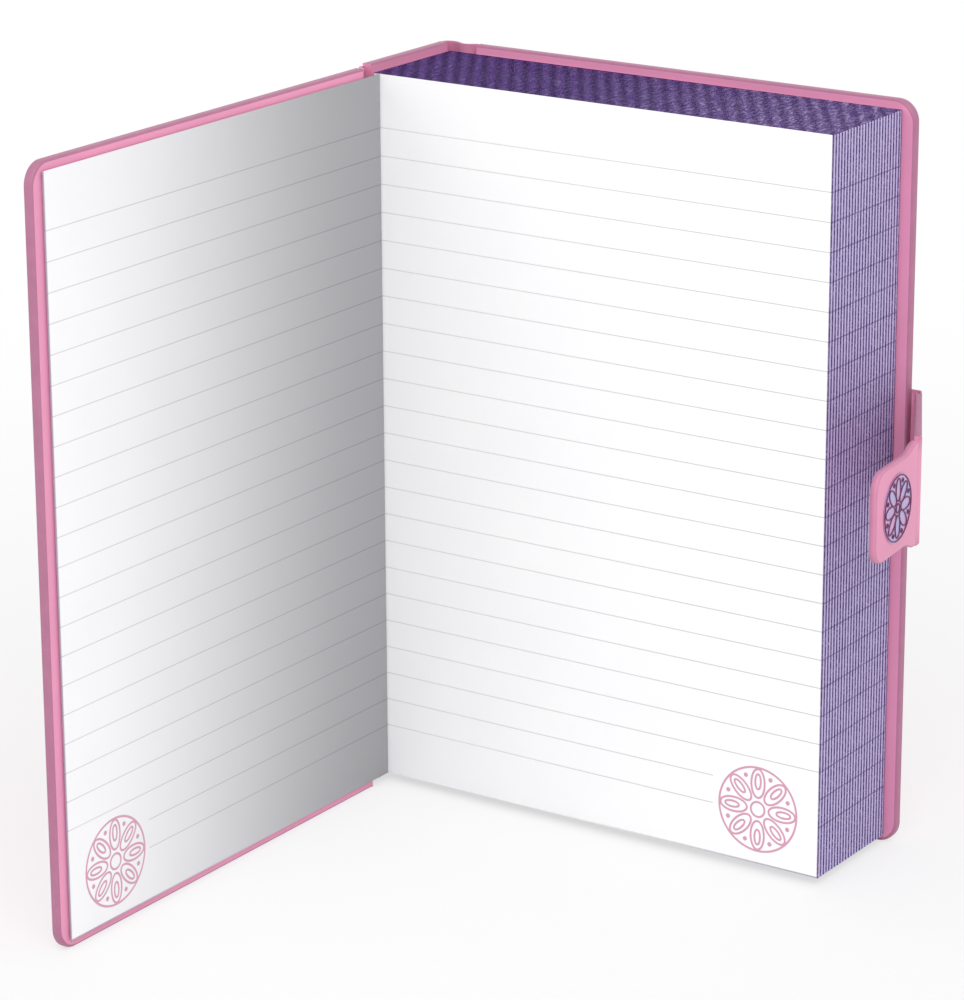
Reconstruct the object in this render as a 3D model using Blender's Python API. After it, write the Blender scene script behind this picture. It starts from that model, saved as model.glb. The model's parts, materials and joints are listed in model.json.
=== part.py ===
"""A hardback clasp notebook for A5 pages, standing open on its lower edges.

Run with blender --background --python part.py, or from the text editor. Metres, +Z up.
The spine is at -X, the front page faces -Y and the back cover is at +Y. Every hinge axis is vertical.
"""

import math

import bmesh
import bpy
from mathutils import Vector

# Page block
PAGE_WIDTH = 0.148
PAGE_HEIGHT = 0.210
BLOCK_THICKNESS = 0.038
SECTION_COUNT = 24
LEAF_THICKNESS = 0.0002
LEAF_START = 0.0003
STUB_WIDTH = 0.0016
LINING_THICKNESS = 0.0004
LINING_MARGIN = 0.004

# Case
BOARD_THICKNESS = 0.002
SKIN_THICKNESS = 0.0004
PASTEDOWN_THICKNESS = 0.0002
HEAD_SQUARE = 0.0025
FORE_SQUARE = 0.0035
COVER_CORNER_RADIUS = 0.006
TURN_IN = 0.015
PASTEDOWN_MARGIN = 0.004
GROOVE_DEPTH = 0.0016
JOINT_THICKNESS = 0.0008
JOINT_MARGIN = 0.0005

# The bend line of the covers and the turned leaf, in from the spine folds
HINGE_INSET = 0.0025
FRONT_OPEN_ANGLE = 90.0

# Clasp flap
FLAP_HEIGHT = 0.029
TAB_HEIGHT = 0.025
TAB_LENGTH = 0.030
TAB_CORNER_RADIUS = 0.005
OGEE_START = 0.003
OGEE_LENGTH = 0.007
STIFFENER_THICKNESS = 0.001
FLAP_SKIN_THICKNESS = 0.0004
FOLD_START = 0.0021
FLAP_STAND_OFF = 0.0016
FOLD_INSET = 0.0003
CLASP_RISE = 0.012
GUSSET_OPEN_ANGLE = 28.0
TAB_BEND_ANGLE = 22.0
MAGNET_RADIUS = 0.006
MAGNET_REACH = 0.016
KEEPER_RADIUS = 0.007
KEEPER_THICKNESS = 0.0008

# Rosette on the tab
ROSETTE_RADIUS = 0.0094
ROSETTE_THICKNESS = 0.0002
FOIL_THICKNESS = 0.00015
PETAL_COUNT = 8
PETAL_CENTRE = 0.0050
PETAL_LENGTH = 0.0060
PETAL_WIDTH = 0.0030
BEAD_CENTRE = 0.0077
BEAD_RADIUS = 0.0007

# Clearances
SHEET_GAP = 0.0001
FIT_GAP = 0.0003
SPINE_CLEARANCE = 0.0004

# Fineness of the round stretches
CORNER_STEPS = 8
FOLD_STEPS = 4
RIBBON_STEPS = 5
DISC_STEPS = 32
PETAL_STEPS = 14
BEAD_STEPS = 8
SHARP_ANGLE = math.radians(30)
CUT_OVERSHOOT = 0.001

# The stack of a cover, as distances from its hinge plane outwards
HINGE_TO_PASTEDOWN = LEAF_THICKNESS / 2 + FIT_GAP
PASTEDOWN_TOP = HINGE_TO_PASTEDOWN + PASTEDOWN_THICKNESS
TURN_IN_FACE = PASTEDOWN_TOP + SHEET_GAP
BOARD_INNER = TURN_IN_FACE + SKIN_THICKNESS + SHEET_GAP
BOARD_OUTER = BOARD_INNER + BOARD_THICKNESS
COVER_OUTER = BOARD_OUTER + SHEET_GAP + SKIN_THICKNESS

# The stack of the spine, as distances from the folds towards -X
LINING_INNER = SHEET_GAP
SPINE_FLAP_INNER = LINING_INNER + LINING_THICKNESS + SHEET_GAP
SPINE_BOARD_INNER = SPINE_FLAP_INNER + SKIN_THICKNESS + SHEET_GAP
SPINE_BOARD_OUTER = SPINE_BOARD_INNER + BOARD_THICKNESS
SPINE_OUTER = SPINE_BOARD_OUTER + SHEET_GAP + SKIN_THICKNESS
SPINE_MARGIN = SHEET_GAP * 2

# Where the hinge axes lie, seen from above
LEAF_HINGE_Y = -(SHEET_GAP + LEAF_THICKNESS + SHEET_GAP + LEAF_THICKNESS / 2)
BACK_HINGE_Y = BLOCK_THICKNESS + FIT_GAP - HINGE_TO_PASTEDOWN
COVER_START = HINGE_INSET + SPINE_OUTER + SPINE_CLEARANCE
COVER_END = PAGE_WIDTH + FORE_SQUARE - HINGE_INSET
BOOK_HEIGHT = PAGE_HEIGHT + 2 * HEAD_SQUARE
RIM = SKIN_THICKNESS + SHEET_GAP

# The stack of the flap, as distances from its fold axis outwards
FLAP_LINING_OUTER = FLAP_SKIN_THICKNESS - FOLD_INSET
STIFFENER_INNER = FLAP_LINING_OUTER + SHEET_GAP
STIFFENER_OUTER = STIFFENER_INNER + STIFFENER_THICKNESS
FLAP_OUTER = STIFFENER_OUTER + SHEET_GAP + FLAP_SKIN_THICKNESS
FLAP_RIM = FLAP_SKIN_THICKNESS + SHEET_GAP
FLAP_MIDDLE = BOOK_HEIGHT / 2 + CLASP_RISE

# The flap's fold axes, in the back cover's own frame
GUSSET_HINGE_X = COVER_END + FLAP_STAND_OFF + FOLD_INSET
GUSSET_HINGE_Y = COVER_OUTER - FLAP_OUTER
CLOSED_FRONT_FACE = LEAF_HINGE_Y - COVER_OUTER - BACK_HINGE_Y
TAB_HINGE_REACH = GUSSET_HINGE_Y - (CLOSED_FRONT_FACE - FIT_GAP - FOLD_INSET)
GUSSET_END = TAB_HINGE_REACH - FOLD_START
KEEPER_X = GUSSET_HINGE_X - MAGNET_REACH


def clear_scene():
    """Removes whatever the scene holds."""
    for obj in list(bpy.data.objects):
        bpy.data.objects.remove(obj, do_unlink=True)


def make_material(name, colour, roughness, metallic=0.0):
    """A plain Principled finish."""
    material = bpy.data.materials.new(name)
    material.use_nodes = True
    shader = material.node_tree.nodes["Principled BSDF"]
    shader.inputs["Base Color"].default_value = (*colour, 1.0)
    shader.inputs["Roughness"].default_value = roughness
    shader.inputs["Metallic"].default_value = metallic
    return material


def make_materials():
    """One finish for each kind of sub-part."""
    return {
        "page_edge": make_material("page_edge", (0.30, 0.22, 0.50), 0.6),
        "leaf": make_material("leaf", (0.86, 0.86, 0.87), 0.8),
        "lining": make_material("lining", (0.72, 0.70, 0.64), 0.9),
        "board": make_material("board", (0.36, 0.33, 0.29), 0.9),
        "skin": make_material("skin", (0.78, 0.32, 0.49), 0.45),
        "joint": make_material("joint", (0.72, 0.28, 0.44), 0.5),
        "pastedown": make_material("pastedown", (0.80, 0.74, 0.86), 0.8),
        "stiffener": make_material("stiffener", (0.40, 0.38, 0.36), 0.8),
        "flap_lining": make_material("flap_lining", (0.76, 0.30, 0.47), 0.6),
        "steel": make_material("steel", (0.62, 0.62, 0.64), 0.35, 1.0),
        "magnet": make_material("magnet", (0.45, 0.45, 0.47), 0.3, 1.0),
        "foil": make_material("foil", (0.62, 0.48, 0.74), 0.2, 0.8),
        "rosette": make_material("rosette", (0.14, 0.03, 0.09), 0.3, 0.6),
    }


def make_empty(name, location, angle, parent):
    """An axis that moving pieces hang from, turned about Z by angle degrees."""
    empty = bpy.data.objects.new(name, None)
    empty.location = location
    empty.rotation_euler = (0.0, 0.0, math.radians(angle))
    empty.parent = parent
    bpy.context.scene.collection.objects.link(empty)
    return empty


def finish_object(name, bm, material, parent):
    """Turns a bmesh into a named object with one finish, shaded smooth where it is round."""
    bmesh.ops.recalc_face_normals(bm, faces=bm.faces)
    mesh = bpy.data.meshes.new(name)
    bm.to_mesh(mesh)
    bm.free()
    mesh.shade_smooth()
    mesh.set_sharp_from_angle(angle=SHARP_ANGLE)
    obj = bpy.data.objects.new(name, mesh)
    obj.parent = parent
    bpy.context.scene.collection.objects.link(obj)
    if material is not None:
        mesh.materials.append(material)
    return obj


def add_prism(bm, outline, low, high):
    """Extrudes a closed outline from the plane through low to the plane through high."""
    verts = [bm.verts.new(Vector(point) + Vector(low)) for point in outline]
    face = bm.faces.new(verts)
    grown = bmesh.ops.extrude_face_region(bm, geom=[face])
    raised = [item for item in grown["geom"] if isinstance(item, bmesh.types.BMVert)]
    bmesh.ops.translate(bm, vec=Vector(high) - Vector(low), verts=raised)


def upright_prism(name, plan, z_low, z_high, material, parent):
    """A plan outline of (x, y) points raised from z_low to z_high."""
    bm = bmesh.new()
    outline = [(x, y, 0.0) for x, y in plan]
    add_prism(bm, outline, (0.0, 0.0, z_low), (0.0, 0.0, z_high))
    return finish_object(name, bm, material, parent)


def sheet_prism(name, elevation, y_from, y_to, material, parent):
    """An elevation outline of (x, z) points, given a thickness from y_from to y_to."""
    bm = bmesh.new()
    outline = [(x, 0.0, z) for x, z in elevation]
    add_prism(bm, outline, (0.0, y_from, 0.0), (0.0, y_to, 0.0))
    return finish_object(name, bm, material, parent)


def cut(target, cutter):
    """Takes the cutter out of the target."""
    cutter.hide_render = True
    cutter.display_type = "WIRE"
    modifier = target.modifiers.new("cut_" + cutter.name, "BOOLEAN")
    modifier.operation = "DIFFERENCE"
    modifier.solver = "EXACT"
    modifier.object = cutter


def arc(centre_x, centre_z, radius, start, end, steps):
    """Points along a circular arc between two angles in degrees."""
    points = []
    for i in range(steps + 1):
        angle = math.radians(start + (end - start) * i / steps)
        points.append((centre_x + radius * math.cos(angle), centre_z + radius * math.sin(angle)))
    return points


def panel_outline(x_low, x_high, z_low, z_high, radius):
    """A rectangle whose two corners at x_high are rounded."""
    lower = arc(x_high - radius, z_low + radius, radius, -90, 0, CORNER_STEPS)
    upper = arc(x_high - radius, z_high - radius, radius, 0, 90, CORNER_STEPS)
    return [(x_low, z_low)] + lower + upper + [(x_low, z_high)]


def section_plan(y_low, thickness):
    """A folded section seen from above: a round fold at the spine, eased edges at the fore-edge."""
    radius = thickness / 2
    ease = thickness / 4
    fold = arc(radius, y_low + radius, radius, 90, 270, 2 * FOLD_STEPS)
    near = arc(PAGE_WIDTH - ease, y_low + ease, ease, -90, 0, FOLD_STEPS)
    far = arc(PAGE_WIDTH - ease, y_low + thickness - ease, ease, 0, 90, FOLD_STEPS)
    return fold + near + far


def build_block(materials, root):
    """The sewn sections, the stub of the turned leaf and the lining glued over the folds."""
    pitch = BLOCK_THICKNESS / SECTION_COUNT
    bottom = HEAD_SQUARE
    top = HEAD_SQUARE + PAGE_HEIGHT
    for i in range(SECTION_COUNT):
        plan = section_plan(i * pitch + SHEET_GAP / 2, pitch - SHEET_GAP)
        upright_prism(f"section_{i + 1:02d}", plan, bottom, top, materials["page_edge"], root)
    stub_end = HINGE_INSET - 2 * LEAF_THICKNESS
    stub_low = -SHEET_GAP - LEAF_THICKNESS
    stub = [
        (stub_end - STUB_WIDTH, stub_low),
        (stub_end, stub_low),
        (stub_end, -SHEET_GAP),
        (stub_end - STUB_WIDTH, -SHEET_GAP),
    ]
    upright_prism("leaf_stub", stub, bottom, top, materials["leaf"], root)
    lining = [
        (-LINING_INNER - LINING_THICKNESS, LINING_THICKNESS),
        (-LINING_INNER, LINING_THICKNESS),
        (-LINING_INNER, BLOCK_THICKNESS - LINING_THICKNESS),
        (-LINING_INNER - LINING_THICKNESS, BLOCK_THICKNESS - LINING_THICKNESS),
    ]
    low = bottom + LINING_MARGIN
    high = top - LINING_MARGIN
    upright_prism("spine_lining", lining, low, high, materials["lining"], root)


def build_turned_leaf(materials, root):
    """The leaf that lies against the open front cover, with its own fold line at the gutter."""
    location = (HINGE_INSET, LEAF_HINGE_Y, 0.0)
    hinge = make_empty("turned_leaf_hinge", location, -FRONT_OPEN_ANGLE, root)
    half = LEAF_THICKNESS / 2
    end = PAGE_WIDTH - HINGE_INSET
    plan = [(LEAF_START, -half), (end, -half), (end, half), (LEAF_START, half)]
    top = HEAD_SQUARE + PAGE_HEIGHT
    upright_prism("turned_leaf", plan, HEAD_SQUARE, top, materials["leaf"], hinge)


def build_cover(name, side, hinge, materials):
    """Board, skin with turn-ins and pastedown of one cover. side is -1 in front and +1 behind."""
    outline = panel_outline(COVER_START, COVER_END, 0.0, BOOK_HEIGHT, COVER_CORNER_RADIUS)
    skin = sheet_prism(
        name + "_skin", outline, side * TURN_IN_FACE, side * COVER_OUTER, materials["skin"], hinge
    )
    pocket_outline = panel_outline(
        COVER_START - CUT_OVERSHOOT,
        COVER_END - SKIN_THICKNESS,
        SKIN_THICKNESS,
        BOOK_HEIGHT - SKIN_THICKNESS,
        COVER_CORNER_RADIUS - SKIN_THICKNESS,
    )
    pocket = sheet_prism(
        name + "_pocket",
        pocket_outline,
        side * (BOARD_INNER - SHEET_GAP),
        side * (BOARD_OUTER + SHEET_GAP),
        None,
        hinge,
    )
    cut(skin, pocket)
    window_outline = panel_outline(
        COVER_START - CUT_OVERSHOOT, COVER_END - TURN_IN, TURN_IN, BOOK_HEIGHT - TURN_IN, SKIN_THICKNESS
    )
    window = sheet_prism(
        name + "_window",
        window_outline,
        side * (TURN_IN_FACE - CUT_OVERSHOOT),
        side * (BOARD_INNER + SHEET_GAP),
        None,
        hinge,
    )
    cut(skin, window)
    board_outline = panel_outline(
        COVER_START, COVER_END - RIM, RIM, BOOK_HEIGHT - RIM, COVER_CORNER_RADIUS - RIM
    )
    board = sheet_prism(
        name + "_board", board_outline, side * BOARD_INNER, side * BOARD_OUTER, materials["board"], hinge
    )
    pastedown_outline = panel_outline(
        COVER_START,
        COVER_END - PASTEDOWN_MARGIN,
        PASTEDOWN_MARGIN,
        BOOK_HEIGHT - PASTEDOWN_MARGIN,
        COVER_CORNER_RADIUS - PASTEDOWN_MARGIN,
    )
    sheet_prism(
        name + "_pastedown",
        pastedown_outline,
        side * HINGE_TO_PASTEDOWN,
        side * PASTEDOWN_TOP,
        materials["pastedown"],
        hinge,
    )
    return board


def add_keeper(board, hinge, materials):
    """A steel disc let into the outside of the front board, where the tab's magnet lands."""
    hole = arc(KEEPER_X, FLAP_MIDDLE, KEEPER_RADIUS + SHEET_GAP, 0, 360, DISC_STEPS)[:-1]
    pocket = sheet_prism(
        "keeper_pocket",
        hole,
        -(BOARD_OUTER - KEEPER_THICKNESS - SHEET_GAP),
        -(BOARD_OUTER + CUT_OVERSHOOT),
        None,
        hinge,
    )
    cut(board, pocket)
    disc = arc(KEEPER_X, FLAP_MIDDLE, KEEPER_RADIUS, 0, 360, DISC_STEPS)[:-1]
    sheet_prism(
        "front_keeper", disc, -(BOARD_OUTER - KEEPER_THICKNESS), -BOARD_OUTER, materials["steel"], hinge
    )


def build_spine(materials, root):
    """The spine board, and its skin turned in over the board at head and tail."""
    y_low = SPINE_MARGIN
    y_high = BLOCK_THICKNESS - SPINE_MARGIN
    outline = [
        (-SPINE_OUTER, 0.0),
        (-SPINE_FLAP_INNER, 0.0),
        (-SPINE_FLAP_INNER, BOOK_HEIGHT),
        (-SPINE_OUTER, BOOK_HEIGHT),
    ]
    skin = sheet_prism("spine_skin", outline, y_low, y_high, materials["skin"], root)
    pocket_outline = [
        (-SPINE_BOARD_OUTER - SHEET_GAP, SKIN_THICKNESS),
        (-SPINE_BOARD_INNER + SHEET_GAP, SKIN_THICKNESS),
        (-SPINE_BOARD_INNER + SHEET_GAP, BOOK_HEIGHT - SKIN_THICKNESS),
        (-SPINE_BOARD_OUTER - SHEET_GAP, BOOK_HEIGHT - SKIN_THICKNESS),
    ]
    past_low = y_low - CUT_OVERSHOOT
    past_high = y_high + CUT_OVERSHOOT
    cut(skin, sheet_prism("spine_pocket", pocket_outline, past_low, past_high, None, root))
    window_outline = [
        (-SPINE_BOARD_INNER - SHEET_GAP, TURN_IN),
        (-SPINE_FLAP_INNER + CUT_OVERSHOOT, TURN_IN),
        (-SPINE_FLAP_INNER + CUT_OVERSHOOT, BOOK_HEIGHT - TURN_IN),
        (-SPINE_BOARD_INNER - SHEET_GAP, BOOK_HEIGHT - TURN_IN),
    ]
    cut(skin, sheet_prism("spine_window", window_outline, past_low, past_high, None, root))
    board_outline = [
        (-SPINE_BOARD_OUTER, RIM),
        (-SPINE_BOARD_INNER, RIM),
        (-SPINE_BOARD_INNER, BOOK_HEIGHT - RIM),
        (-SPINE_BOARD_OUTER, BOOK_HEIGHT - RIM),
    ]
    sheet_prism("spine_board", board_outline, y_low, y_high, materials["board"], root)


def smooth_path(points, steps):
    """A Catmull-Rom curve through the given plan points."""
    vectors = [Vector(point) for point in points]
    first = 2 * vectors[0] - vectors[1]
    last = 2 * vectors[-1] - vectors[-2]
    guides = [first] + vectors + [last]
    path = []
    for i in range(1, len(guides) - 2):
        p0, p1, p2, p3 = guides[i - 1 : i + 3]
        for step in range(steps):
            t = step / steps
            path.append(
                0.5
                * (
                    2 * p1
                    + (p2 - p0) * t
                    + (2 * p0 - 5 * p1 + 4 * p2 - p3) * t**2
                    + (3 * p1 - p0 - 3 * p2 + p3) * t**3
                )
            )
    path.append(vectors[-1])
    return path


def ribbon_plan(points, thickness):
    """The outline of a strip of even thickness that follows a smooth path, seen from above."""
    path = smooth_path(points, RIBBON_STEPS)
    left = []
    right = []
    for i, point in enumerate(path):
        ahead = path[min(i + 1, len(path) - 1)]
        behind = path[max(i - 1, 0)]
        direction = (ahead - behind).normalized()
        across = Vector((-direction.y, direction.x)) * thickness / 2
        left.append(point + across)
        right.append(point - across)
    return [tuple(point) for point in left + right[::-1]]


def build_joints(materials, root):
    """The two stretches of skin that bend between the spine and the covers."""
    spine_x = -(SPINE_OUTER - JOINT_THICKNESS / 2)
    skin_level = COVER_OUTER - JOINT_THICKNESS / 2
    span = COVER_START - 2 * SHEET_GAP
    front_x = HINGE_INSET - skin_level
    front_y = LEAF_HINGE_Y - span
    front = [
        (spine_x, SPINE_MARGIN - SHEET_GAP),
        (spine_x + SHEET_GAP, front_y / 4),
        (front_x - SHEET_GAP, front_y / 2),
        (front_x + GROOVE_DEPTH / 4, 3 * front_y / 4),
        (front_x, front_y),
    ]
    back_y = BACK_HINGE_Y + skin_level
    back_x = HINGE_INSET + span
    groove_x = HINGE_INSET + span / 4
    back = [
        (spine_x, BLOCK_THICKNESS - SPINE_MARGIN + SHEET_GAP),
        (spine_x + SKIN_THICKNESS, back_y - GROOVE_DEPTH / 2),
        (spine_x + SPINE_OUTER - SKIN_THICKNESS, back_y),
        (groove_x, back_y - GROOVE_DEPTH),
        (back_x - GROOVE_DEPTH, back_y - SHEET_GAP),
        (back_x, back_y),
    ]
    for name, points in (("front_joint", front), ("back_joint", back)):
        plan = ribbon_plan(points, JOINT_THICKNESS)
        high = BOOK_HEIGHT - JOINT_MARGIN
        upright_prism(name, plan, JOINT_MARGIN, high, materials["joint"], root)


def flap_half_height(x, tip_half):
    """Half the tab's height at x: the shoulder, then an ogee down to the lobe."""
    share = min(max((x - OGEE_START) / OGEE_LENGTH, 0.0), 1.0)
    ease = 0.5 - 0.5 * math.cos(math.pi * share)
    return FLAP_HEIGHT / 2 + (tip_half - FLAP_HEIGHT / 2) * ease


def tab_outline(inset):
    """The tab from its fold to its round tip, moved in by inset all round but at the fold."""
    half = TAB_HEIGHT / 2
    radius = TAB_CORNER_RADIUS - inset
    end = TAB_LENGTH - inset
    steps = 2 * CORNER_STEPS
    side = [(FOLD_START, FLAP_HEIGHT / 2 - inset)]
    for i in range(steps + 1):
        x = OGEE_START + OGEE_LENGTH * i / steps
        side.append((x, flap_half_height(x, half) - inset))
    tip = arc(end - radius, half - inset - radius, radius, 90, 0, CORNER_STEPS)
    upper = side + tip
    lower = [(x, -z) for x, z in reversed(upper)]
    return [(x, FLAP_MIDDLE + z) for x, z in upper + lower]


def gusset_outline(inset):
    """The gusset between its two folds, moved in by inset at its upper and lower edges."""
    half = FLAP_HEIGHT / 2 - inset
    low = FLAP_MIDDLE - half
    high = FLAP_MIDDLE + half
    return [(FOLD_START, low), (GUSSET_END, low), (GUSSET_END, high), (FOLD_START, high)]


def add_flap_layers(name, outline, hinge, materials):
    """Skin tray, stiffener and lining of one stiff panel of the flap. outline gives it for an inset."""
    skin = sheet_prism(name + "_skin", outline(0.0), -FOLD_INSET, FLAP_OUTER, materials["skin"], hinge)
    tray = outline(FLAP_SKIN_THICKNESS)
    low_x = min(x for x, _ in tray)
    high_x = max(x for x, _ in outline(0.0))
    tray = [(x - CUT_OVERSHOOT if x == low_x else x, z) for x, z in tray]
    tray = [(x + CUT_OVERSHOOT if x == high_x else x, z) for x, z in tray]
    pocket = sheet_prism(
        name + "_pocket", tray, -FOLD_INSET - CUT_OVERSHOOT, FLAP_OUTER - FLAP_SKIN_THICKNESS, None, hinge
    )
    cut(skin, pocket)
    inner = outline(FLAP_RIM)
    board = sheet_prism(
        name + "_stiffener", inner, STIFFENER_INNER, STIFFENER_OUTER, materials["stiffener"], hinge
    )
    sheet_prism(
        name + "_lining", inner, -FOLD_INSET, FLAP_LINING_OUTER, materials["flap_lining"], hinge
    )
    return board


def turned(x, y, angle):
    """A plan point turned about the origin by angle degrees."""
    a = math.radians(angle)
    return (x * math.cos(a) - y * math.sin(a), x * math.sin(a) + y * math.cos(a))


def build_folds(cover_hinge, gusset_hinge, materials):
    """The stretches of skin at the flap's two folds, each the height of the gusset."""
    low = FLAP_MIDDLE - FLAP_HEIGHT / 2
    high = FLAP_MIDDLE + FLAP_HEIGHT / 2
    level = FLAP_OUTER - FLAP_SKIN_THICKNESS / 2
    start = FOLD_START - SHEET_GAP
    edge_y = GUSSET_HINGE_Y + level - SHEET_GAP
    dx, dy = turned(start, level, GUSSET_OPEN_ANGLE - 90)
    end = (GUSSET_HINGE_X + dx, GUSSET_HINGE_Y + dy)
    shoulder = turned(0.0, level, (GUSSET_OPEN_ANGLE - 90) / 2)
    back = [
        (COVER_END + SHEET_GAP, edge_y),
        (GUSSET_HINGE_X, edge_y),
        (GUSSET_HINGE_X + shoulder[0], GUSSET_HINGE_Y + shoulder[1]),
        end,
    ]
    plan = ribbon_plan(back, FLAP_SKIN_THICKNESS)
    upright_prism("clasp_back_fold", plan, low, high, materials["joint"], cover_hinge)
    middle = turned(0.0, level, -TAB_BEND_ANGLE / 2)
    tab_start = turned(start, level, -TAB_BEND_ANGLE)
    front = [
        (GUSSET_END + SHEET_GAP, level),
        (TAB_HINGE_REACH + middle[0], middle[1]),
        (TAB_HINGE_REACH + tab_start[0], tab_start[1]),
    ]
    plan = ribbon_plan(front, FLAP_SKIN_THICKNESS)
    upright_prism("clasp_front_fold", plan, low, high, materials["joint"], gusset_hinge)


def add_magnet(stiffener, hinge, materials):
    """A disc magnet in a hole through the tab's stiffener."""
    hole = arc(MAGNET_REACH, FLAP_MIDDLE, MAGNET_RADIUS + SHEET_GAP, 0, 360, DISC_STEPS)[:-1]
    past = CUT_OVERSHOOT
    cutter = sheet_prism(
        "magnet_hole", hole, STIFFENER_INNER - past, STIFFENER_OUTER + past, None, hinge
    )
    cut(stiffener, cutter)
    disc = arc(MAGNET_REACH, FLAP_MIDDLE, MAGNET_RADIUS, 0, 360, DISC_STEPS)[:-1]
    sheet_prism("tab_magnet", disc, STIFFENER_INNER, STIFFENER_OUTER, materials["magnet"], hinge)


def petal_windows(y_from, y_to, hinge):
    """The openings of the rosette: a ring of ellipses with a small round bead between each pair."""
    bm = bmesh.new()
    for i in range(PETAL_COUNT):
        angle = 360 * i / PETAL_COUNT
        petal = []
        for x, z in arc(0.0, 0.0, 0.5, 0, 360, PETAL_STEPS)[:-1]:
            px, pz = turned(PETAL_CENTRE + x * PETAL_LENGTH, z * PETAL_WIDTH, angle)
            petal.append((MAGNET_REACH + px, 0.0, FLAP_MIDDLE + pz))
        add_prism(bm, petal, (0.0, y_from, 0.0), (0.0, y_to, 0.0))
        centre = turned(BEAD_CENTRE, 0.0, angle + 180 / PETAL_COUNT)
        bead = arc(MAGNET_REACH + centre[0], FLAP_MIDDLE + centre[1], BEAD_RADIUS, 0, 360, BEAD_STEPS)
        outline = [(x, 0.0, z) for x, z in bead[:-1]]
        add_prism(bm, outline, (0.0, y_from, 0.0), (0.0, y_to, 0.0))
    return finish_object("petal_windows", bm, None, hinge)


def add_rosette(hinge, materials):
    """A foil disc on the tab, with an openwork rosette of petals over it."""
    disc = arc(MAGNET_REACH, FLAP_MIDDLE, ROSETTE_RADIUS, 0, 360, 2 * DISC_STEPS)[:-1]
    foil_from = FLAP_OUTER + SHEET_GAP
    foil_to = foil_from + FOIL_THICKNESS
    sheet_prism("clasp_foil", disc, foil_from, foil_to, materials["foil"], hinge)
    low = foil_to + SHEET_GAP
    high = low + ROSETTE_THICKNESS
    rosette = sheet_prism("clasp_rosette", disc, low, high, materials["rosette"], hinge)
    cut(rosette, petal_windows(low - CUT_OVERSHOOT, high + CUT_OVERSHOOT, hinge))


def build_clasp(cover_hinge, materials):
    """The gusset that crosses the fore-edge and the tab that lands on the front cover."""
    gusset_place = (GUSSET_HINGE_X, GUSSET_HINGE_Y, 0.0)
    gusset_hinge = make_empty("gusset_hinge", gusset_place, GUSSET_OPEN_ANGLE - 90, cover_hinge)
    add_flap_layers("gusset", gusset_outline, gusset_hinge, materials)
    tab_place = (TAB_HINGE_REACH, 0.0, 0.0)
    tab_hinge = make_empty("tab_hinge", tab_place, -TAB_BEND_ANGLE, gusset_hinge)
    stiffener = add_flap_layers("tab", tab_outline, tab_hinge, materials)
    add_magnet(stiffener, tab_hinge, materials)
    add_rosette(tab_hinge, materials)
    build_folds(cover_hinge, gusset_hinge, materials)


def centre_on_base(root):
    """Moves the book so that its box stands centred on the origin."""
    bpy.context.view_layer.update()
    corners = []
    for obj in bpy.context.scene.objects:
        if obj.type == "MESH" and not obj.hide_render:
            corners += [obj.matrix_world @ Vector(corner) for corner in obj.bound_box]
    low_x = min(corner.x for corner in corners)
    high_x = max(corner.x for corner in corners)
    low_y = min(corner.y for corner in corners)
    high_y = max(corner.y for corner in corners)
    root.location = (-(low_x + high_x) / 2, -(low_y + high_y) / 2, 0.0)
    bpy.context.view_layer.update()


def print_places(root, names):
    """Prints the world places of the hinge axes."""
    print("book origin", [round(value, 6) for value in root.location])
    for name in names:
        place = bpy.data.objects[name].matrix_world.translation
        print(name, [round(value, 6) for value in place])


def main():
    clear_scene()
    materials = make_materials()
    root = make_empty("notebook", (0.0, 0.0, 0.0), 0.0, None)
    build_block(materials, root)
    build_turned_leaf(materials, root)
    build_spine(materials, root)
    front_place = (HINGE_INSET, LEAF_HINGE_Y, 0.0)
    front_hinge = make_empty("front_cover_hinge", front_place, -FRONT_OPEN_ANGLE, root)
    front_board = build_cover("front", -1, front_hinge, materials)
    add_keeper(front_board, front_hinge, materials)
    back_place = (HINGE_INSET, BACK_HINGE_Y, 0.0)
    back_hinge = make_empty("back_cover_hinge", back_place, 0.0, root)
    build_cover("back", 1, back_hinge, materials)
    build_joints(materials, root)
    build_clasp(back_hinge, materials)
    centre_on_base(root)
    hinges = ["front_cover_hinge", "turned_leaf_hinge", "back_cover_hinge", "gusset_hinge", "tab_hinge"]
    print_places(root, hinges)


main()
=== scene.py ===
# %% [markdown]
# # A clasp notebook, standing open
#
# This lesson dresses a hardback notebook. Its boards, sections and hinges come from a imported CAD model, the
# fixed frame: nothing in it moves here. Skins, joints, the ruled leaf and the clasp's rosette are made again
# as smooth surfaces, and every finish is mixed from nodes.

# %% Load the frame
import json
import math

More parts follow.
